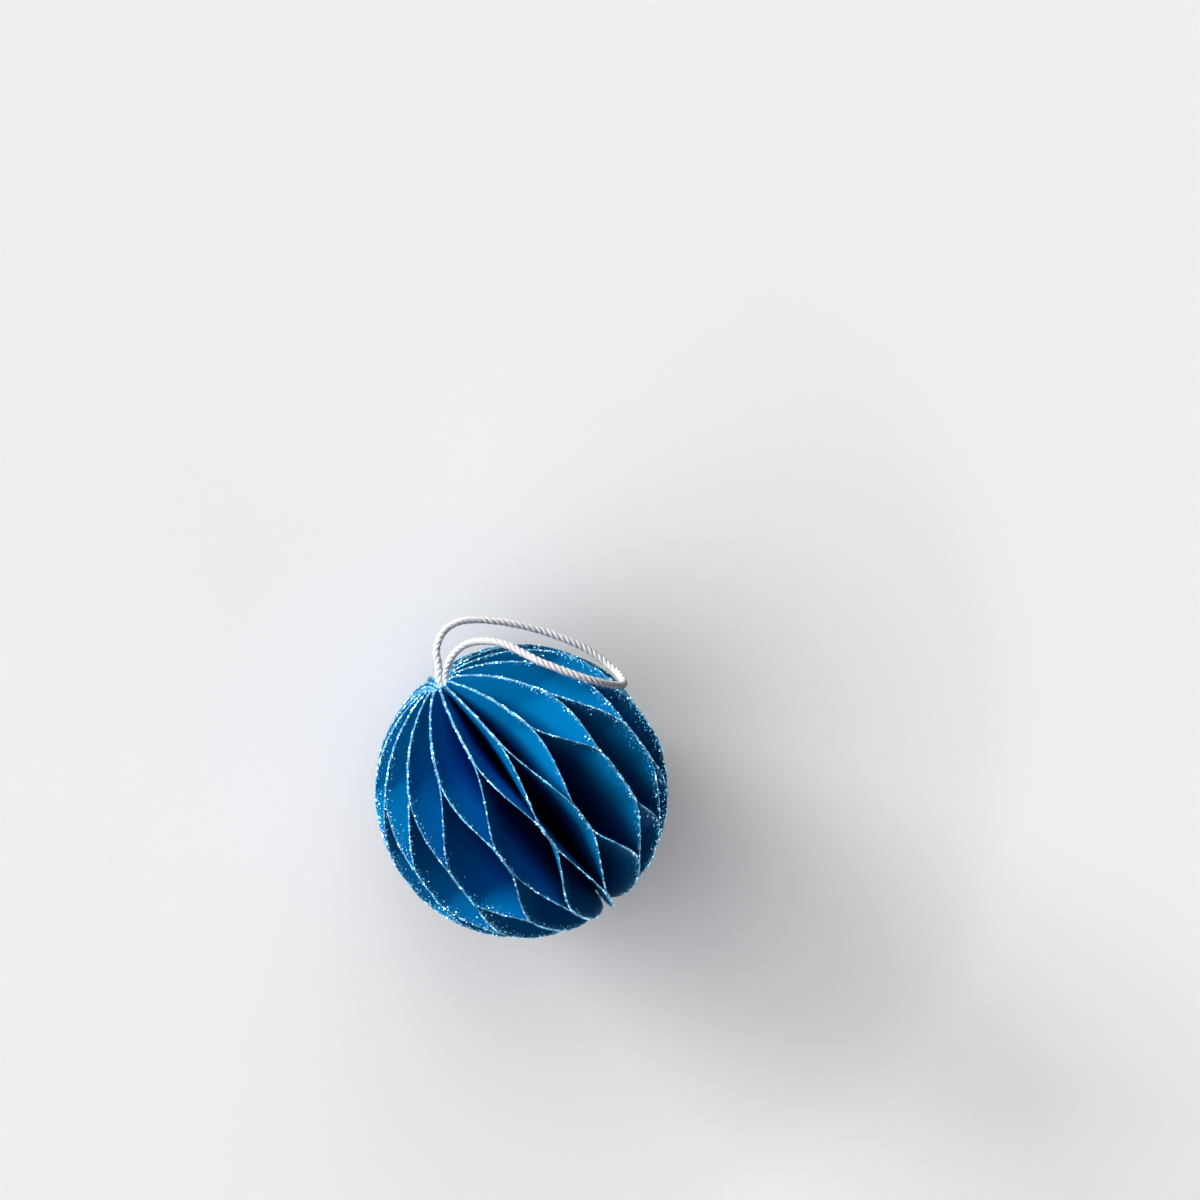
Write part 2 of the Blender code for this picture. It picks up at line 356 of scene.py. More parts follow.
def grow(name, tree, values):
    """Runs a geometry tree with these inputs and gives its result as a plain mesh object."""
    host = put_in_scene(name, bpy.data.meshes.new(name))
    modifier = host.modifiers.new(tree.name, "NODES")
    modifier.node_group = tree
    for item in tree.interface.items_tree:
        if item.in_out == "INPUT" and item.name in values:
            modifier[item.identifier] = values[item.name]
    graph = bpy.context.evaluated_depsgraph_get()
    evaluated = host.evaluated_get(graph)
    mesh = bpy.data.meshes.new_from_object(evaluated, preserve_all_data_layers=True, depsgraph=graph)
    host.modifiers.remove(modifier)
    host.data = mesh
    return host


# The shape of a leaf

PLAN_AND_SIZES = {
    "Cord Angle": 0.0, "Far Angle": 0.0, "Middle Angle": 0.0, "Cord End": 0.0, "Far End": 0.0,
    "Middle Up": 0.0, "Middle Down": 0.0, "Side": 0.0, "Ball Radius": BALL_RADIUS,
    "Rest Flat": REST_FLAT, "Spine Radius": SPINE_RADIUS, "Spine Half": SPINE_HALF,
    "Corner Radius": CORNER_RADIUS, "Half Pair": HALF_PAIR, "Soft Bend": SOFT_BEND}


def uneven(shifts, index):
    return shifts[index % PAIR_COUNT % len(shifts)]


def leaf_plan(number):
    """Where one leaf is glued: its angles, its glued stretches, and the side of its pair it is on."""
    pair = number // 2
    side = 1 if number % 2 else -1
    # A leaf on the far side of its pole pair meets the next pair's leaf round the middle.
    middle = pair if side > 0 else pair - 1
    return {
        "Side": float(side),
        "Cord Angle": (pair + uneven(CORD_POLE_TURN, pair)) * PAIR_STEP,
        "Far Angle": (pair + uneven(FAR_POLE_TURN, pair)) * PAIR_STEP,
        "Middle Angle": (middle + 0.5 + uneven(MIDDLE_TURN, middle)) * PAIR_STEP,
        "Cord End": BALL_RADIUS - POLE_GLUE - uneven(CORD_POLE_EXTRA, pair),
        "Far End": BALL_RADIUS - POLE_GLUE - uneven(FAR_POLE_EXTRA, pair),
        "Middle Up": MIDDLE_GLUE / 2.0 + uneven(MIDDLE_EXTRA_UP, middle),
        "Middle Down": MIDDLE_GLUE / 2.0 + uneven(MIDDLE_EXTRA_DOWN, middle),
    }


def leaf_rule_group():
    """Node group: the leaf's angle, its paper's distance from the pair's middle, and its two edges."""
    outputs = dict.fromkeys(("Angle", "Offset", "Rim", "Inner", "Opening"), "value")
    tree, given, result = new_group("leaf rule", "GeometryNodeTree", {"Height": 0.0, **PLAN_AND_SIZES},
                                    outputs)
    height = given["Height"]
    away = height.math("ABSOLUTE")
    upper = height.math("GREATER_THAN", 0.0)
    glued = choose(upper, given["Cord End"], given["Far End"])
    middle = choose(upper, given["Middle Up"], given["Middle Down"])
    pole_angle = choose(upper, given["Cord Angle"], given["Far Angle"])
    share = ((glued - away) / (glued - middle)).between(0.0, 1.0)
    soft = share * share * (3.0 - 2.0 * share)
    opening = share + given["Soft Bend"] * (soft - share)
    radius = given["Ball Radius"]
    widest = (radius * radius - given["Rest Flat"] * given["Rest Flat"] * 0.25).math("SQRT")
    round_edge = (radius * radius - away * away).math("MAXIMUM", 0.0).math("SQRT")
    corner = given["Corner Radius"]
    past = (away - given["Spine Half"]).math("MAXIMUM", 0.0)
    curve = corner - (corner * corner - past * past).math("MAXIMUM", 0.0).math("SQRT")
    plug(tree, pole_angle + opening * (given["Middle Angle"] - pole_angle), result.inputs["Angle"])
    plug(tree, given["Side"] * given["Half Pair"] * (1.0 - 2.0 * opening), result.inputs["Offset"])
    plug(tree, widest.math("MINIMUM", round_edge), result.inputs["Rim"])
    plug(tree, given["Spine Radius"] + curve, result.inputs["Inner"])
    plug(tree, opening, result.inputs["Opening"])
    return tree


def in_place(tree, angle, radius, shift, height, centre):
    """A point at an angle round the axis: its distance from the axis, its shift across, and its height."""
    sine = angle.math("SINE")
    cosine = angle.math("COSINE")
    x = sine * radius + cosine * shift
    z = cosine * radius - sine * shift + centre
    return xyz(tree, x, height, z)


def store(tree, geometry, name, value, **settings):
    """Keeps a value on the geometry under this name."""
    inputs = {"Geometry": geometry, "Name": name, "Value": value}
    return add(tree, "GeometryNodeStoreNamedAttribute", inputs, **settings)


def rule_inputs(given, height):
    return {"Height": height, **{name: given[name] for name in PLAN_AND_SIZES}}


# Points from edge to spine on each face of a leaf, and sections along it
LEAF_ROWS = 11
LEAF_STATIONS = 121
# Rows of the leaf's mesh crowd towards the round edge by this power.
ROW_CROWDING = 2.0
UV_PER_METRE = 10.0
SHARP_FROM = math.radians(40.0)


def leaf_tree(rule):
    """Geometry tree: one leaf, a closed sheet with fine rows near its round edge."""
    inputs = {
        **PLAN_AND_SIZES, "Paper Thickness": PAPER_THICKNESS, "Centre Height": CENTRE.z,
        "Tip Height": SPINE_HALF + CORNER_RADIUS * math.sin(CORNER_SWEEP), "Rows": LEAF_ROWS,
        "Stations": LEAF_STATIONS, "Row Crowding": ROW_CROWDING, "Paper": "material"}
    tree, given, result = new_group("paper leaf", "GeometryNodeTree", inputs, {"Geometry": "geometry"})
    ring = given["Rows"] * 2.0
    tube = add(tree, "GeometryNodeMeshCylinder", {
        "Vertices": ring, "Side Segments": given["Stations"] - 1.0, "Radius": 1.0, "Depth": 2.0},
        fill_type="NGON")
    # Each ring of the tube becomes one section of the paper: along one face and back along the other.
    place = add(tree, "GeometryNodeInputIndex").math("FLOORED_MODULO", ring)
    back = place.math("GREATER_THAN", given["Rows"] - 0.5)
    step = place.math("MINIMUM", ring - 1.0 - place)
    from_rim = (1.0 - step / (given["Rows"] - 1.0)).math("POWER", given["Row Crowding"])
    height = given["Tip Height"] * (position(tree)[2] * (math.pi / 2.0)).math("SINE")
    found = use_group(tree, rule, rule_inputs(given, height))
    depth = from_rim * (found["Rim"] - found["Inner"])
    face = (back * 2.0 - 1.0) * given["Paper Thickness"] * 0.5
    place_at = in_place(tree, found["Angle"], found["Rim"] - depth, found["Offset"] + face, height,
                        given["Centre Height"])
    marked = store(tree, tube, "edge_distance", depth)
    # One face meets the pair's other leaf at the poles, and the other face the next pair round the middle.
    to_partner = (back * 2.0 - 1.0) * given["Side"] * -0.5 + 0.5
    room = choose(to_partner, found["Opening"], 1.0 - found["Opening"])
    marked = store(tree, marked, "room", room)
    # The two faces lie side by side on the UV map.
    flat = xyz(tree, height * UV_PER_METRE + 0.5, depth * UV_PER_METRE + back * 0.5, 0.0)
    mapped = store(tree, marked, "UVMap", flat, data_type="FLOAT2", domain="CORNER")
    shaped = add(tree, "GeometryNodeSetPosition", {"Geometry": mapped, "Position": place_at})
    plug(tree, solid_and_finish(tree, shaped, given["Paper"]), result.inputs[0])
    return tree


BEAD_STATIONS = 181
BEAD_SIDES = 7


def outline_field(tree, given, length):
    """Distance from the axis and height of a point this far along the leaf's edge from the middle."""
    radius = given["Ball Radius"]
    corner = given["Corner Radius"]
    corner_centre = given["Spine Radius"] + corner
    tangent = given["Spine Half"].math("ARCTAN2", corner_centre)
    away = length.math("ABSOLUTE")
    sign = length.math("SIGN")
    on_rim = away / radius
    past = (on_rim - tangent).math("MAXIMUM", 0.0) * radius / corner + tangent
    at_corner = on_rim.math("GREATER_THAN", tangent)
    widest = (radius * radius - given["Rest Flat"] * given["Rest Flat"] * 0.25).math("SQRT")
    rim_distance = (radius * on_rim.math("COSINE")).math("MINIMUM", widest)
    corner_height = given["Spine Half"] + corner * past.math("SINE")
    distance = choose(at_corner, corner_centre + corner * past.math("COSINE"), rim_distance)
    height = choose(at_corner, corner_height, radius * on_rim.math("SINE"))
    return distance, height * sign


def leaf_noise(tree, seed, scale, detail, step):
    return add(tree, "ShaderNodeTexNoise", {"Scale": scale, "Detail": detail, "W": seed * step},
               noise_dimensions="4D")


def clumps(crowd, start, rise, least, most):
    return ((crowd - start) * rise).between(least, most)


def scatter_flakes(tree, given, surface, density, seed, radius, lean):
    """Low six sided flakes on a surface, each of its own size and tone and tipped its own way."""
    clear = position(tree)[2].math("GREATER_THAN", given["Flake Clearance"])
    scatter = scatter_points(tree, surface, density * clear, seed)
    flake = add(tree, "GeometryNodeMeshCone", {
        "Vertices": FLAKE_SIDES, "Radius Top": 0.0, "Radius Bottom": radius, "Depth": radius * FLAKE_HEIGHT},
        fill_type="NGON")
    flakes = stand_on(tree, scatter, flake, lean, FLAKE_SIZES, FLAKE_DRAWS)
    tone = random_between(tree, 0.0, 1.0, FLAKE_DRAWS + 4)
    return store(tree, flakes, "tone", tone, domain="INSTANCE")


def edge_line(tree, given, rule):
    """The line along the leaf's round edge and corners, a little way inside the paper."""
    line = add(tree, "GeometryNodeCurvePrimitiveLine", {"Start": (0.0, -1.0, 0.0), "End": (0.0, 1.0, 0.0)})
    line = add(tree, "GeometryNodeResampleCurve", {"Curve": line, "Count": given["Stations"]})
    corner_centre = given["Spine Radius"] + given["Corner Radius"]
    tangent = given["Spine Half"].math("ARCTAN2", corner_centre)
    half_length = given["Ball Radius"] * tangent + given["Corner Radius"] * given["Corner Reach"]
    distance, height = outline_field(tree, given, position(tree)[1] * half_length)
    found = use_group(tree, rule, rule_inputs(given, height))
    sunk = distance - given["Bead Sink"]
    edge = in_place(tree, found["Angle"], sunk, found["Offset"], height, given["Centre Height"])
    return add(tree, "GeometryNodeSetPosition", {"Geometry": line, "Position": edge})


def glue_bead(tree, given, line):
    """The bead of glue along a line: uneven, lumpy, and pressed flat where the ball rests on it."""
    seed = given["Seed"]
    swell = leaf_noise(tree, seed, *BEAD_SWELL_NOISE)
    drift = leaf_noise(tree, seed, *BEAD_DRIFT_NOISE)
    width = BEAD_LEAST + BEAD_SWELL * swell + BEAD_DRIFT * drift
    profile = add(tree, "GeometryNodeCurvePrimitiveCircle", {
        "Resolution": given["Sides"], "Radius": given["Bead Radius"]})
    bead = add(tree, "GeometryNodeCurveToMesh", {
        "Curve": line, "Profile Curve": profile, "Scale": width, "Fill Caps": True})
    lump = add(tree, "ShaderNodeTexNoise", {"Scale": BEAD_LUMP_SCALE, "Detail": 2.0})
    normal = add(tree, "GeometryNodeInputNormal")
    push = add(tree, "ShaderNodeVectorMath", {
        0: normal, "Scale": (lump - 0.5) * given["Bead Radius"] * BEAD_LUMP}, operation="SCALE")
    bead = add(tree, "GeometryNodeSetPosition", {"Geometry": bead, "Offset": push})
    across, along_axis, up = position(tree)
    return add(tree, "GeometryNodeSetPosition", {
        "Geometry": bead, "Position": xyz(tree, across, along_axis, up.math("MAXIMUM", 0.0))})


def open_side(tree, given):
    """1 on the side of the bead that faces out, and 0 on the side that is sunk in the paper."""
    centre = xyz(tree, 0.0, 0.0, given["Centre Height"])
    spot = add(tree, "GeometryNodeInputPosition")
    outwards = add(tree, "ShaderNodeVectorMath", {0: spot, 1: centre}, operation="SUBTRACT")
    outwards = add(tree, "ShaderNodeVectorMath", {0: outwards}, operation="NORMALIZE")
    normal = add(tree, "GeometryNodeInputNormal")
    facing = add(tree, "ShaderNodeVectorMath", {0: outwards, 1: normal}, output=1, operation="DOT_PRODUCT")
    return ((facing + OPEN_SIDE_START) * OPEN_SIDE_RISE).between(0.0, 1.0)


def pole_crowding(tree, given):
    """How many times the usual large flakes are added here: most at the axis."""
    spot = add(tree, "GeometryNodeInputPosition")
    to_axis = add(tree, "ShaderNodeVectorMath", {0: spot, 1: (1.0, 0.0, 1.0)}, operation="MULTIPLY")
    centre = xyz(tree, 0.0, 0.0, given["Centre Height"])
    from_axis = add(tree, "ShaderNodeVectorMath", {0: to_axis, 1: centre}, output=1, operation="DISTANCE")
    return (1.0 - from_axis / given["Crowding Reach"]).math("MAXIMUM", 0.0) * given["Pole Crowding"]


def stray_share(tree, given):
    """Strays lie on the leaf's faces, fewer the further in, and none where two leaves are glued."""
    inward = add(tree, "GeometryNodeInputNamedAttribute", {"Name": "edge_distance"}, data_type="FLOAT")
    room = add(tree, "GeometryNodeInputNamedAttribute", {"Name": "room"}, data_type="FLOAT")
    near = (1.0 - inward / given["Stray Reach"]).math("MAXIMUM", 0.0).math("POWER", STRAY_FADE)
    return near * room.math("GREATER_THAN", GLUED_SHUT)


def glitter_tree(rule):
    """Geometry tree: the bead of glue round one leaf's edge, and the flakes that stick in it."""
    inputs = {
        **PLAN_AND_SIZES, "Centre Height": CENTRE.z, "Bead Radius": BEAD_RADIUS,
        "Bead Sink": BEAD_SINK, "Corner Reach": CORNER_GLITTER, "Stations": BEAD_STATIONS,
        "Sides": BEAD_SIDES, "Fine Flake Radius": FINE_FLAKE_RADIUS, "Fine Flakes": FINE_FLAKES,
        "Large Flake Radius": LARGE_FLAKE_RADIUS, "Large Flakes": LARGE_FLAKES,
        "Stray Flake Radius": STRAY_FLAKE_RADIUS, "Stray Flakes": STRAY_FLAKES,
        "Stray Reach": STRAY_REACH, "Flake Clearance": FLAKE_CLEARANCE,
        "Pole Crowding": POLE_CROWDING, "Crowding Reach": POLE_CROWDING_REACH, "Seed": 1,
        "Leaf": "object", "Glue": "material", "Glitter": "material"}
    tree, given, result = new_group("glitter edge", "GeometryNodeTree", inputs, {"Geometry": "geometry"})
    seed = given["Seed"]
    bead = glue_bead(tree, given, edge_line(tree, given, rule))
    leaf = tree.nodes.new("GeometryNodeObjectInfo")
    plug(tree, given["Leaf"], leaf.inputs["Object"])
    face = Field(tree, leaf.outputs["Geometry"])
    outer = open_side(tree, given)
    crowd = leaf_noise(tree, seed, *CLUMP_NOISE)
    evenly = clumps(crowd, *EVEN_CLUMPS)
    clumped = clumps(crowd, *DENSE_CLUMPS) + pole_crowding(tree, given)
    fine = scatter_flakes(tree, given, bead, given["Fine Flakes"] * evenly * outer, seed,
                          given["Fine Flake Radius"], FINE_FLAKE_LEAN)
    large = scatter_flakes(tree, given, bead, given["Large Flakes"] * clumped * outer,
                           seed + LARGE_FLAKE_SEED, given["Large Flake Radius"], LARGE_FLAKE_LEAN)
    stray = scatter_flakes(tree, given, face, given["Stray Flakes"] * stray_share(tree, given) * evenly,
                           seed + STRAY_FLAKE_SEED, given["Stray Flake Radius"], LARGE_FLAKE_LEAN)
    flakes = solid_and_finish(tree, join(tree, fine, large, stray), given["Glitter"])
    bead = add(tree, "GeometryNodeSetMaterial", {"Geometry": bead, "Material": given["Glue"]})
    plug(tree, join(tree, flakes, bead), result.inputs[0])
    return tree


# The glue on the axis

# It grips the straight edges by this much, reaches this far up round the ends of the cord, and is
# rounded over at both ends. Its lumps are this high, and there are so many to a metre.
GLUE_GRIP = 0.0001
GLUE_ROUND_CORD = 0.0146
GLUE_SIDES = 36
GLUE_STEP = 0.0007
GLUE_CROWN = 0.0013
GLUE_CROWN_STEPS = 6
GLUE_LUMP = 0.00022
GLUE_LUMP_SCALE = 900.0


def glue_profile(low, high, radius):
    """Places along the axis and radii of a rod that is rounded over at both ends."""
    turns = [math.pi / 2.0 * step / GLUE_CROWN_STEPS for step in range(1, GLUE_CROWN_STEPS + 1)]
    start = [(low + GLUE_CROWN * (1.0 - math.cos(turn)), radius * math.sin(turn)) for turn in turns]
    end = [(high - (place - low), ring) for place, ring in reversed(start)]
    near = start[-1][0]
    far = end[0][0]
    count = round((far - near) / GLUE_STEP)
    straight = [(near + (far - near) * step / count, radius) for step in range(1, count)]
    return start + straight + end


def glue_mesh():
    """Dried glue: a lumpy rod between the straight edges of the leaves, closed at both ends."""
    low, high = SPINE_LOW.y, SPINE_HIGH.y + GLUE_ROUND_CORD
    turns = [2.0 * math.pi * side / GLUE_SIDES for side in range(GLUE_SIDES)]
    mesh = bmesh.new()
    first = mesh.verts.new((0.0, low, 0.0))
    rings = []
    for place, radius in glue_profile(low, high, SPINE_RADIUS + GLUE_GRIP):
        ring = [(radius * math.sin(turn), place, radius * math.cos(turn)) for turn in turns]
        rings.append([mesh.verts.new(point) for point in ring])
    last = mesh.verts.new((0.0, high, 0.0))
    for side in range(GLUE_SIDES):
        after = (side + 1) % GLUE_SIDES
        mesh.faces.new((first, rings[0][side], rings[0][after]))
        mesh.faces.new((last, rings[-1][after], rings[-1][side]))
        for near, far in zip(rings, rings[1:]):
            mesh.faces.new((near[side], far[side], far[after], near[after]))
    bmesh.ops.recalc_face_normals(mesh, faces=mesh.faces)
    mesh.normal_update()
    for vertex in mesh.verts:
        vertex.co += vertex.normal * GLUE_LUMP * bumps(vertex.co * GLUE_LUMP_SCALE)
        vertex.co += CENTRE
    data = bpy.data.meshes.new("spine_glue")
    mesh.to_mesh(data)
    mesh.free()
    data.shade_smooth()
    return data


def make_spine_glue(material):
    glue = put_in_scene("spine_glue", glue_mesh())
    glue.data.materials.append(material)
    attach(glue, "root")
    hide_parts("spine_binding")


# Finishes. The scale of a noise or a grain is in waves per metre.

BLUE_GLOSS = (0.02, 0.50, 1.0, 1.0)
PAPER_MOTTLING = 55.0
PAPER_GRAIN = {"Scale": 1900.0, "Depth": 0.00003, "Strength": 0.25}
PAPER_ROUGHNESS = 0.36
PAPER_ROUGHNESS_CHANGE = 0.12
# Glitter dust on the paper: solid along the very edge, which it leaves ragged, and specks further in
EDGE_DUST_REACH = 0.00030
EDGE_DUST_SHARE = 0.20
EDGE_DUST_COLOUR = (0.10, 0.46, 0.72)
EDGE_RAGGED = 0.0005
EDGE_RAGGED_SCALE = 2600.0
SPECK_SCALE = 3400.0
SPECKS_AT_EDGE = 0.22
SPECK_FADE = 2.0
SPECK_STRENGTH = 0.6
SPECK_COLOUR = (0.10, 0.46, 0.66)
# The glue of the bead, from bare to covered with fine glitter
BEAD_COLOURS = ((0.02, 0.26, 0.48), (0.22, 0.64, 0.86))
BEAD_CELLS = 2600.0
BEAD_BARE = 0.25
BEAD_CONTRAST = 1.6
BEAD_GRAIN = {"Scale": 5200.0, "Depth": 0.00006, "Strength": 0.7}
# Flakes, from cyan to silver
FLAKE_COLOURS = ((0.10, 0.58, 0.92), (0.55, 0.88, 1.0))
FLAKE_CYAN = 0.35
FLAKE_CONTRAST = 4.0
FLAKE_ROUGHNESS = 0.10
FLAKE_ROUGHNESS_CHANGE = 0.12
FLAKE_ROUGHNESS_SCALE = 4000.0
# Cotton: the yarn's fibres are long along each strand and fine across it.
YARN_COLOURS = ((0.85, 0.845, 0.835), (0.955, 0.95, 0.94))
YARN_STRETCH = (16.0, 900.0, 1.0)
YARN_DEPTH = 0.00006
YARN_STRENGTH = 0.6
LOOSE_COTTON_COLOURS = ((0.84, 0.83, 0.82), (0.96, 0.955, 0.945))
LOOSE_COTTON_SCALE = 700.0
# Dried glue, coloured as dark as the paper's painted shade deep in the cells
DRIED_GLUE_SHADE_COLOURS = ((0.002, 0.035, 0.130), (0.020, 0.120, 0.290))
DRIED_GLUE_STAIN = 420.0
DRIED_GLUE_GRAIN = {"Scale": 900.0, "Depth": 0.0002, "Strength": 0.6}
# The fine grain is two noises, the second this many times finer, and the first this share of the whole.
GRAIN_RATIO = 3.1
COARSE_SHARE = 0.6


def new_material(name):
    """A material with its tree and its shader node."""
    material = bpy.data.materials.new(name)
    material.use_nodes = True
    return material, material.node_tree, material.node_tree.nodes["Principled BSDF"]


def on_object(tree):
    """Object coordinates, so that a pattern stays where it is on the piece."""
    return Field(tree, tree.nodes.new("ShaderNodeTexCoord").outputs["Object"])


def set_shader(tree, shader, **values):
    for name, value in values.items():
        plug(tree, value, shader.inputs[name.replace("_", " ")])


def mix_colours(tree, share, first, second):
    node = tree.nodes.new("ShaderNodeMix")
    node.data_type = "RGBA"
    plug(tree, share, node.inputs[0])
    plug(tree, first if isinstance(first, Field) else (*first, 1.0), node.inputs[6])
    plug(tree, second if isinstance(second, Field) else (*second, 1.0), node.inputs[7])
    return Field(tree, node.outputs[2])


def noise(tree, where, scale, detail=2.0):
    return add(tree, "ShaderNodeTexNoise", {"Vector": where, "Scale": scale, "Detail": detail})


def fine_grain_group():
    """Shader group: a fine grain as a value, and the surface normal that it gives."""
    inputs = {"Vector": "vector", "Scale": "value", "Depth": "value", "Strength": "value"}
    tree, given, result = new_group("fine grain", "ShaderNodeTree", inputs,
                                    {"Grain": "value", "Normal": "vector"})
    coarse = noise(tree, given["Vector"], given["Scale"], 3.0)
    fine = noise(tree, given["Vector"], given["Scale"] * GRAIN_RATIO, 2.0)
    grain = coarse * COARSE_SHARE + fine * (1.0 - COARSE_SHARE)
    bump = add(tree, "ShaderNodeBump", {"Strength": given["Strength"], "Distance": given["Depth"],
                                        "Height": grain})
    plug(tree, grain, result.inputs["Grain"])
    plug(tree, bump, result.inputs["Normal"])
    return tree


def random_cells(tree, where, scale):
    """Small cells, each with its own value from 0 to 1."""
    cells = add(tree, "ShaderNodeTexVoronoi", {"Vector": where, "Scale": scale}, output=1)
    return add(tree, "ShaderNodeSeparateColor", {0: cells}, output=0)


def roughen(tree, shader, grain_group, where, values):
    """Gives a shader the fine grain's normal, and gives the grain itself."""
    grain = use_group(tree, grain_group, {"Vector": where, **values})
    plug(tree, grain["Normal"], shader.inputs["Normal"])
    return grain["Grain"]


def paper_material(grain_group):
    """Satin blue paper, a little uneven in tone, darker and purer further in from the round edge by painted
    shade, and paler where glue and glitter dust it at the edge.
    """
    material, tree, shader = new_material("satin_blue_paper")
    where = on_object(tree)
    mottling = noise(tree, where, PAPER_MOTTLING, 3.0)
    edge = add(tree, "ShaderNodeAttribute", attribute_name="edge_distance", output=2)
    start, low, high = PAPER_TONES_AND_DEPTH_SHADE[0]
    blue = mix_colours(tree, mottling, low, high)
    # Painted shade: each step deeper below the round edge blends towards a darker, purer tone.
    for depth, low, high in PAPER_TONES_AND_DEPTH_SHADE[1:]:
        inward = ((edge - start) / (depth - start)).between(0.0, 1.0)
        blue = mix_colours(tree, inward, blue, mix_colours(tree, mottling, low, high))
        start = depth
    ragged = edge + (noise(tree, where, EDGE_RAGGED_SCALE, 1.0) - 0.5) * EDGE_RAGGED
    dusted = (1.0 - ragged / EDGE_DUST_REACH).between(0.0, 1.0)
    near = (1.0 - edge / STRAY_REACH).math("MAXIMUM", 0.0).math("POWER", SPECK_FADE)
    specks = random_cells(tree, where, SPECK_SCALE).math("GREATER_THAN", 1.0 - near * SPECKS_AT_EDGE)
    speckled = mix_colours(tree, specks * SPECK_STRENGTH, blue, SPECK_COLOUR)
    dusty = mix_colours(tree, dusted * EDGE_DUST_SHARE, speckled, EDGE_DUST_COLOUR)
    grain = roughen(tree, shader, grain_group, where, PAPER_GRAIN)
    set_shader(tree, shader, Base_Color=dusty, Roughness=PAPER_ROUGHNESS + PAPER_ROUGHNESS_CHANGE * grain,
               Metallic=0.0, Specular_IOR_Level=0.045, Specular_Tint=BLUE_GLOSS)
    return material


def glitter_glue_material(grain_group):
    """The glue round the edge, crowded with glitter too fine to tell apart."""
    material, tree, shader = new_material("glitter_glue")
    where = on_object(tree)
    pale = ((random_cells(tree, where, BEAD_CELLS) - BEAD_BARE) * BEAD_CONTRAST).between(0.0, 1.0)
    roughen(tree, shader, grain_group, where, BEAD_GRAIN)
    set_shader(tree, shader, Base_Color=mix_colours(tree, pale, *BEAD_COLOURS), Roughness=0.4, Metallic=0.0)
    return material


def glitter_material():
    """Flakes of metallised film: silver, pale blue and cyan, each flake its own tone."""
    material, tree, shader = new_material("glitter_flakes")
    tone = add(tree, "ShaderNodeAttribute", attribute_name="tone", output=2)
    silver = ((tone - FLAKE_CYAN) * FLAKE_CONTRAST).between(0.0, 1.0)
    film = noise(tree, on_object(tree), FLAKE_ROUGHNESS_SCALE)
    set_shader(tree, shader, Base_Color=mix_colours(tree, silver, *FLAKE_COLOURS),
               Roughness=FLAKE_ROUGHNESS + FLAKE_ROUGHNESS_CHANGE * film, Metallic=1.0)
    return material


def cotton_material():
    """White cotton yarn: fibres run along each strand, with a soft sheen."""
    material, tree, shader = new_material("white_cotton_yarn")
    uv = add(tree, "ShaderNodeUVMap", uv_map="UVMap")
    stretched = add(tree, "ShaderNodeMapping", {"Vector": uv, "Scale": YARN_STRETCH})
    fibres = noise(tree, stretched, 1.0, 3.0)
    bump = add(tree, "ShaderNodeBump", {"Strength": YARN_STRENGTH, "Distance": YARN_DEPTH, "Height": fibres})
    set_shader(tree, shader, Base_Color=mix_colours(tree, fibres, *YARN_COLOURS), Normal=bump,
               Roughness=0.92, Sheen_Weight=0.6, Sheen_Roughness=0.4, Subsurface_Weight=0.40,
               Subsurface_Scale=0.0008, Subsurface_Radius=(1.0, 1.0, 1.0))
    return material


def loose_cotton_material():
    """The same cotton where single fibres stand off the yarn."""
    material, tree, shader = new_material("loose_cotton_fibres")
    uneven_white = noise(tree, on_object(tree), LOOSE_COTTON_SCALE)
    set_shader(tree, shader, Base_Color=mix_colours(tree, uneven_white, *LOOSE_COTTON_COLOURS),
               Roughness=0.95, Sheen_Weight=0.3, Sheen_Roughness=0.5)
    return material


def dried_glue_material(grain_group):
    """Dried glue in the spine, blue and as dark as the paper's painted shade deep in the cells."""
    material, tree, shader = new_material("dried_glue")
    where = on_object(tree)
    stain = noise(tree, where, DRIED_GLUE_STAIN, 3.0)
    roughen(tree, shader, grain_group, where, DRIED_GLUE_GRAIN)
    # Painted shade: the glue's colours are the near-black navy of the shaded paper deep in the cells.
    set_shader(tree, shader, Base_Color=mix_colours(tree, stain, *DRIED_GLUE_SHADE_COLOURS), Roughness=0.55,
               Specular_IOR_Level=0.12, Specular_Tint=BLUE_GLOSS)
    return material


def seen_directly(tree):
    """1 for rays from the camera, and for those that mirror or pass through something, else 0."""
    rays = tree.nodes.new("ShaderNodeLightPath")
    names = ("Is Camera Ray", "Is Glossy Ray", "Is Transmission Ray")
    camera, glossy, through = (Field(tree, rays.outputs[name]) for name in names)
    return (camera + glossy + through).math("MINIMUM", 1.0)


def floor_material():
    """A pale matt floor. As it is seen, it also glows, except where the ball hides the wide window."""
    material, tree, shader = new_material("pale_floor")
    set_shader(tree, shader, Base_Color=FLOOR_COLOUR, Roughness=0.9)
    window = xyz(tree, *from_viewer(FLOOR_GLOW_AWAY, FLOOR_GLOW_IN_PICTURE))
    open_air = add(tree, "ShaderNodeAmbientOcclusion", {"Distance": FLOOR_SHADE_REACH, "Normal": window},
                   output=1, samples=FLOOR_SHADE_SAMPLES)
    strength = open_air.math("POWER", FLOOR_GLOW_FADE) * FLOOR_GLOW
    glow = add(tree, "ShaderNodeEmission", {"Color": FLOOR_GLOW_COLOUR, "Strength": strength})
    glow = add(tree, "ShaderNodeMixShader", {0: seen_directly(tree), 2: glow})
    whole = add(tree, "ShaderNodeAddShader", {0: Field(tree, shader.outputs["BSDF"]), 1: glow})
    plug(tree, whole, tree.nodes["Material Output"].inputs["Surface"])
    return material


# Camera and lights

def tilted(away, in_picture):
    """A direction as the viewer sees it: its angle away from the viewer and its direction in the picture."""
    flat = math.sin(away)
    return Vector((flat * math.cos(in_picture), flat * math.sin(in_picture), math.cos(away)))


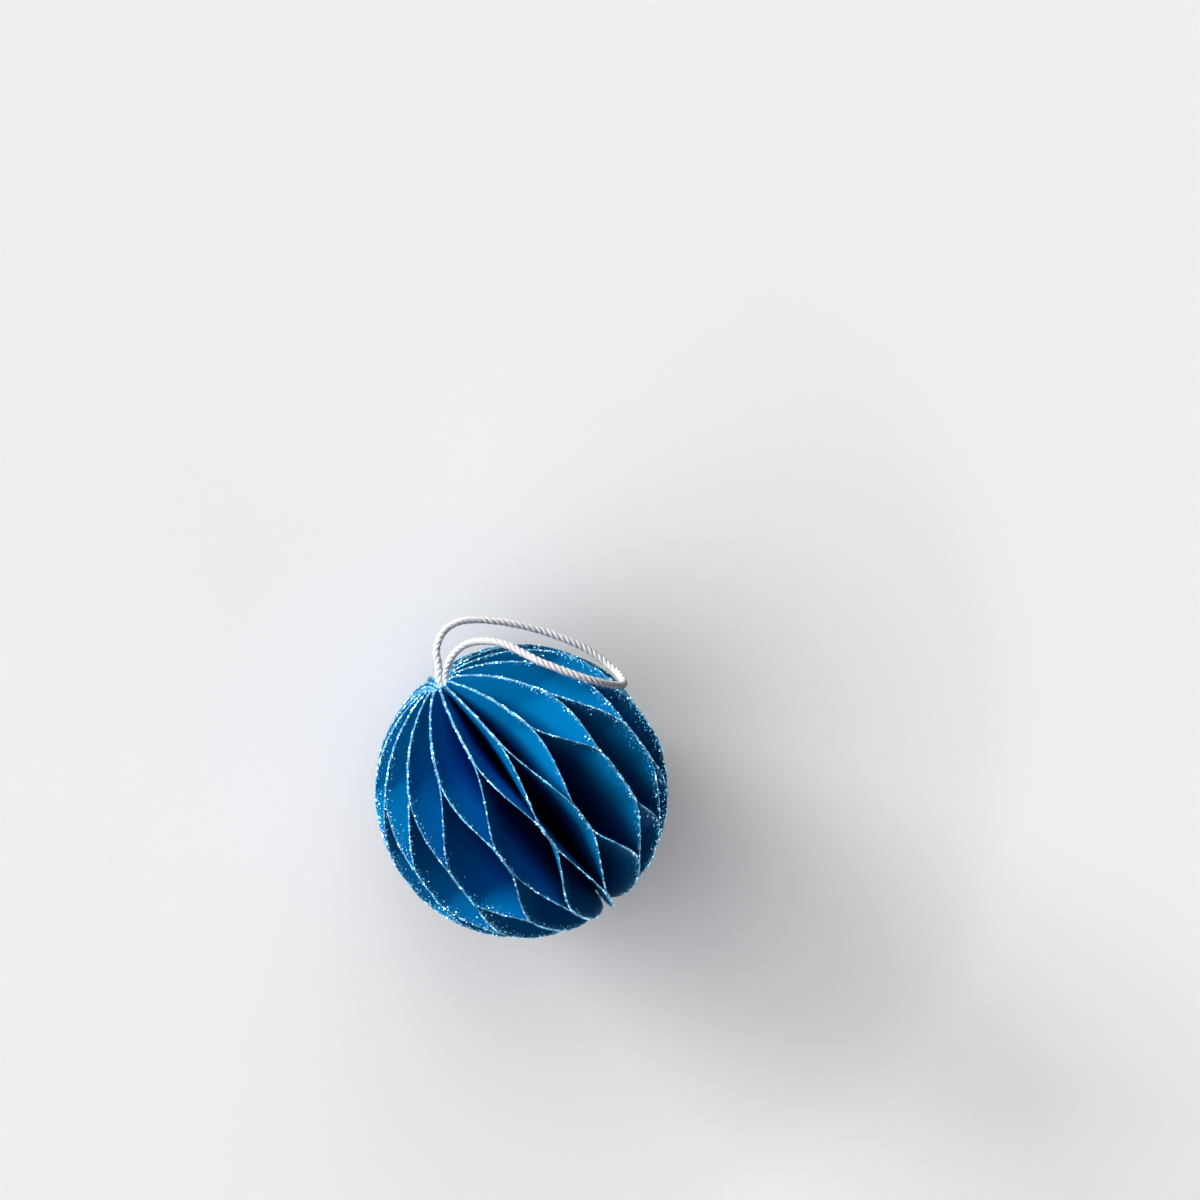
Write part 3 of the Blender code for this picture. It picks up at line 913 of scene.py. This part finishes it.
def picture_axes():
    """The rotation that turns the world into the picture's right, up and towards the viewer."""
    axis_seen = tilted(math.pi / 2.0 - AXIS_LEAN, AXIS_IN_PICTURE)
    front_seen = (Vector((0.0, 0.0, 1.0)) - axis_seen * axis_seen.z).normalized()
    side_seen = axis_seen.cross(front_seen)
    front = Vector((math.sin(BALL_TURN), 0.0, math.cos(BALL_TURN)))
    side = Vector((math.cos(BALL_TURN), 0.0, -math.sin(BALL_TURN)))
    seen = Matrix((axis_seen, front_seen, side_seen)).transposed()
    real = Matrix((Vector((0.0, 1.0, 0.0)), front, side))
    return seen @ real


def from_viewer(away, in_picture):
    """The world's direction at this angle away from the viewer and this one in the picture, in degrees."""
    return picture_axes().transposed() @ tilted(math.radians(away), math.radians(in_picture))


def make_camera():
    """A camera that sees the ball where the photo shows it."""
    turn = picture_axes()
    depth = BALL_RADIUS * PHOTO_FOCAL / BALL_PIXEL_RADIUS
    right = (BALL_PIXEL[0] - PHOTO_SIZE / 2.0) / PHOTO_FOCAL
    up = -(BALL_PIXEL[1] - PHOTO_SIZE / 2.0) / PHOTO_FOCAL
    ball_seen = Vector((right, up, -1.0)) * depth
    data = bpy.data.cameras.new("camera")
    data.sensor_width = SENSOR
    data.lens = SENSOR * PHOTO_FOCAL / PHOTO_SIZE
    data.clip_start = 0.01
    camera = put_in_scene("camera", data)
    back = turn.transposed()
    camera.matrix_world = Matrix.Translation(CENTRE - back @ ball_seen) @ back.to_4x4()
    bpy.context.scene.camera = camera


def make_lamp(name, away, in_picture, width, share, colour):
    data = bpy.data.lights.new(name, "SUN")
    data.angle = math.radians(width)
    data.energy = share * math.pi
    data.color = colour
    towards = from_viewer(away, in_picture)
    lamp = put_in_scene(name, data)
    lamp.location = CENTRE + towards
    lamp.rotation_euler = towards.to_track_quat("Z", "Y").to_euler()


def make_light():
    for name, setting in LAMPS.items():
        make_lamp(name, *setting)
    world = bpy.data.worlds.new("studio")
    world.use_nodes = True
    tree = world.node_tree
    lighting = tuple(part * WORLD_SHARE for part in SKY_COLOUR)
    direction = Field(tree, tree.nodes.new("ShaderNodeTexCoord").outputs["Generated"])
    window = (noise(tree, direction, WINDOW_SCALE, 1.0) - WINDOW_EDGE) * WINDOW_CONTRAST
    mirrored = mix_colours(tree, window.between(0.0, 1.0), ROOM_MIRRORED, WINDOWS_MIRRORED)
    glossy = Field(tree, tree.nodes.new("ShaderNodeLightPath").outputs["Is Glossy Ray"])
    shown = mix_colours(tree, glossy, SURROUNDINGS_SEEN, mirrored)
    seen = mix_colours(tree, seen_directly(tree), lighting, shown)
    plug(tree, seen, tree.nodes["Background"].inputs["Color"])
    bpy.context.scene.world = world
    bpy.context.scene.view_settings.view_transform = "Standard"


def make_floor():
    mesh = bpy.data.meshes.new("floor")
    corners = ((-1, -1), (1, -1), (1, 1), (-1, 1))
    mesh.from_pydata([(x * FLOOR_HALF, y * FLOOR_HALF, -FLOOR_DROP) for x, y in corners], [], [(0, 1, 2, 3)])
    mesh.materials.append(floor_material())
    floor = put_in_scene("floor", mesh)


# Cord

def smooth_curve(points, steps=24):
    """Points closely spaced on a Catmull-Rom curve through the given points."""
    ends = [2 * points[0] - points[1]] + points + [2 * points[-1] - points[-2]]
    dense = []
    for a, b, c, d in zip(ends, ends[1:], ends[2:], ends[3:]):
        for step in range(steps):
            t = step / steps
            dense.append(0.5 * (2 * b + (c - a) * t + (2 * a - 5 * b + 4 * c - d) * t ** 2
                                + (3 * b - a - 3 * c + d) * t ** 3))
    dense.append(points[-1])
    return dense


def evenly_spaced(dense, spacing):
    """Points a fixed distance apart along a dense line, with both ends kept."""
    lengths = [0.0]
    for a, b in zip(dense, dense[1:]):
        lengths.append(lengths[-1] + (b - a).length)
    count = max(2, round(lengths[-1] / spacing))
    points = []
    index = 0
    for step in range(count + 1):
        wanted = lengths[-1] * step / count
        while index < len(lengths) - 2 and lengths[index + 1] < wanted:
            index += 1
        span = lengths[index + 1] - lengths[index]
        points.append(dense[index].lerp(dense[index + 1], (wanted - lengths[index]) / span))
    return points, lengths[-1]


def steady_frames(points):
    """At each point of a line, two directions across it that don't spin along the way."""
    tangents = [(b - a).normalized() for a, b in zip(points[:1] + points[:-1], points[1:] + points[-1:])]
    across = tangents[0].orthogonal().normalized()
    frames = []
    for tangent in tangents:
        across = (across - tangent * across.dot(tangent)).normalized()
        frames.append((across, tangent.cross(across)))
    return frames


STRAND_COUNT = 3
STRAND_RADIUS = 0.00062
STRAND_SIDES = 9
STRAND_STEP = 0.00024
# The strands stand this much proud of the cord's round.
STRAND_PROUD = 0.00003


def strand_mesh(points, turn):
    """One strand of the cord, wound round the cord's own line."""
    frames = steady_frames(points)
    offset = CORD_DIAMETER / 2.0 - STRAND_RADIUS + STRAND_PROUD
    middle = []
    for index, (point, (across, up)) in enumerate(zip(points, frames)):
        angle = turn + 2.0 * math.pi * index * STRAND_STEP / CORD_LAY
        middle.append(point + (across * math.cos(angle) + up * math.sin(angle)) * offset)
    vertices = []
    for index, (centre, (across, up)) in enumerate(zip(middle, steady_frames(middle))):
        for side in range(STRAND_SIDES):
            angle = 2.0 * math.pi * side / STRAND_SIDES
            vertices.append(centre + (across * math.cos(angle) + up * math.sin(angle)) * STRAND_RADIUS)
    return vertices, len(middle)


def cord_mesh(points):
    """The twisted cord: its strands as closed tubes, with a UV map that runs along each."""
    vertices = []
    faces = []
    uvs = []
    for strand in range(STRAND_COUNT):
        start = len(vertices)
        ring, count = strand_mesh(points, 2.0 * math.pi * strand / STRAND_COUNT)
        vertices += ring
        for row in range(count - 1):
            for side in range(STRAND_SIDES):
                after = (side + 1) % STRAND_SIDES
                low = start + row * STRAND_SIDES
                high = low + STRAND_SIDES
                faces.append((low + side, low + after, high + after, high + side))
                left = side / STRAND_SIDES
                right = (side + 1) / STRAND_SIDES
                near = row * STRAND_STEP
                far = near + STRAND_STEP
                uvs += [(near, left), (near, right), (far, right), (far, left)]
        last = start + (count - 1) * STRAND_SIDES
        faces.append(tuple(start + side for side in reversed(range(STRAND_SIDES))))
        faces.append(tuple(last + side for side in range(STRAND_SIDES)))
        uvs += [(0.0, 0.0)] * (2 * STRAND_SIDES)
    mesh = bpy.data.meshes.new("twisted_cord")
    mesh.from_pydata(vertices, [], faces)
    layer = mesh.uv_layers.new(name="UVMap")
    for loop, uv in zip(layer.data, uvs):
        loop.uv = uv
    mesh.shade_smooth()
    return mesh


# Loose fibres: how many to a square metre, and a fibre's length and radius
FUZZ_FIBRES = 1.7e6
FUZZ_LENGTH = 0.0008
FUZZ_RADIUS = 0.000014
# A fibre's root, knee and tip, sideways and up, in shares of its length, and how much it thins
FUZZ_SHAPE = ((0.0, -0.05), (0.0, 0.5), (0.6, 0.7))
FUZZ_TAPER = 0.75
FUZZ_LEAN = 1.2
FUZZ_SIZES = (0.5, 1.4)


def fuzz_tree():
    """Geometry tree: short bent fibres that stand off the cord's yarn."""
    inputs = {"Cord": "object", "Fibres": FUZZ_FIBRES, "Fibre Length": FUZZ_LENGTH,
              "Fibre Radius": FUZZ_RADIUS, "Seed": 5, "Cotton": "material"}
    tree, given, result = new_group("cord fuzz", "GeometryNodeTree", inputs, {"Geometry": "geometry"})
    long = given["Fibre Length"]
    root, knee, tip = (xyz(tree, long * sideways, 0.0, long * up) for sideways, up in FUZZ_SHAPE)
    bend = add(tree, "GeometryNodeCurveQuadraticBezier", {
        "Resolution": 3, "Start": root, "Middle": knee, "End": tip})
    profile = add(tree, "GeometryNodeCurvePrimitiveCircle", {
        "Resolution": 3, "Radius": given["Fibre Radius"]})
    taper = 1.0 - FUZZ_TAPER * add(tree, "GeometryNodeSplineParameter")
    fibre = add(tree, "GeometryNodeCurveToMesh", {
        "Curve": bend, "Profile Curve": profile, "Scale": taper, "Fill Caps": True})
    cord = tree.nodes.new("GeometryNodeObjectInfo")
    plug(tree, given["Cord"], cord.inputs["Object"])
    scatter = scatter_points(tree, Field(tree, cord.outputs["Geometry"]), given["Fibres"], given["Seed"])
    fibres = stand_on(tree, scatter, fibre, FUZZ_LEAN, FUZZ_SIZES, FUZZ_DRAWS)
    plug(tree, solid_and_finish(tree, fibres, given["Cotton"]), result.inputs[0])
    return tree


def make_cord(cotton, loose_cotton):
    route = [CENTRE + Vector(p) / 1000.0 for p in CORD_ROUTE_MM]
    dense = smooth_curve(route)
    path, length = evenly_spaced(dense, CORD_STEP)
    points, _ = evenly_spaced(dense, STRAND_STEP)
    mesh = cord_mesh(points)
    mesh.materials.append(cotton)
    cord = put_in_scene("twisted_cord", mesh)
    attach(cord, "root")
    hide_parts("hanging_cord")
    fuzz = grow("cord_fuzz", fuzz_tree(), {"Cord": cord, "Cotton": loose_cotton})
    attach(fuzz, "root")


def make_leaves(paper, glue, glitter):
    """Every leaf and the glitter on its edge, from two geometry trees."""
    rule = leaf_rule_group()
    leaf = leaf_tree(rule)
    edge = glitter_tree(rule)
    for number in range(LEAF_COUNT):
        node = f"leaf_{number + 1:02d}"
        plan = leaf_plan(number)
        sheet = grow(f"paper_{node}", leaf, {**plan, "Paper": paper})
        sheet.data.shade_smooth()
        sheet.data.set_sharp_from_angle(angle=SHARP_FROM)
        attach(sheet, "root")
        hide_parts(node)
        dusting = grow(f"glitter_{node}", edge, {
            **plan, "Seed": number + 1, "Leaf": sheet, "Glue": glue, "Glitter": glitter})
        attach(dusting, "root")


def main():
    make_camera()
    grain = fine_grain_group()
    make_cord(cotton_material(), loose_cotton_material())
    make_leaves(paper_material(grain), glitter_glue_material(grain), glitter_material())
    make_spine_glue(dried_glue_material(grain))
    make_floor()
    make_light()


main()
